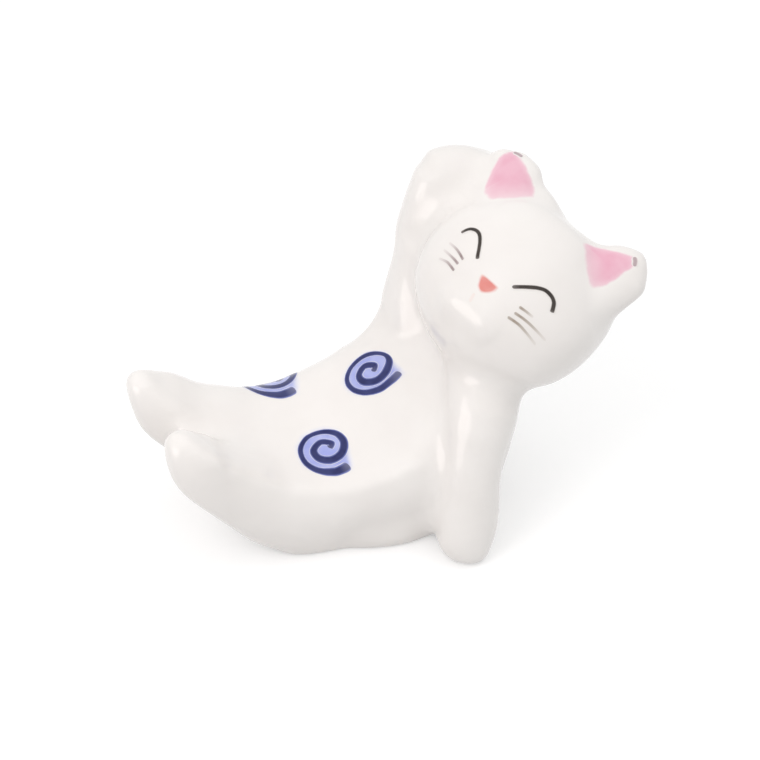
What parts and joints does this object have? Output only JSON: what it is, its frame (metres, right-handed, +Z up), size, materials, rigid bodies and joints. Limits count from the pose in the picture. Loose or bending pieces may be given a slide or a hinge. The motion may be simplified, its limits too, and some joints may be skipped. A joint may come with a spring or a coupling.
{
  "type": "chopstick rest",
  "caption": "Glazed porcelain chopstick rest shaped as a cat lying on its back, whose dipped belly holds the chopsticks between its raised legs and its chest.",
  "frame": {"origin": "on the table, in the flat underside below the cat's belly", "axes": "+X from the feet to the head, along the length; +Y to the cat's right side, square to the chopsticks' saddle; +Z up, away from the table"},
  "size_m": [0.0619, 0.0359, 0.0414],
  "materials": {
    "porcelain": "clear gloss glaze over warm white porcelain, with an unglazed foot where it stands",
    "pink_enamel": "soft pink fired on the glaze",
    "salmon_enamel": "salmon red fired on the glaze",
    "dark_enamel": "brush lines in near black, fired on the glaze",
    "navy_enamel": "dark blue brush line under a gloss glaze",
    "pale_blue_enamel": "pale blue wash under a gloss glaze"
  },
  "bodies": {
    "root": {"torso": "porcelain", "left_leg": "porcelain", "right_leg": "porcelain", "head": "porcelain", "left_ear": "porcelain", "right_ear": "porcelain", "left_arm": "porcelain", "right_arm": "porcelain", "left_ear_pink": "pink_enamel", "right_ear_pink": "pink_enamel", "ear_tip_touches": "dark_enamel", "left_eye": "dark_enamel", "right_eye": "dark_enamel", "nose": "salmon_enamel", "mouth": "pink_enamel", "left_whiskers": "dark_enamel", "right_whiskers": "dark_enamel", "chest_spiral": "navy_enamel", "chest_wash": "pale_blue_enamel", "left_hip_spiral": "navy_enamel", "left_hip_wash": "pale_blue_enamel", "right_hip_spiral": "navy_enamel", "right_hip_wash": "pale_blue_enamel"}
  },
  "joints": []
}
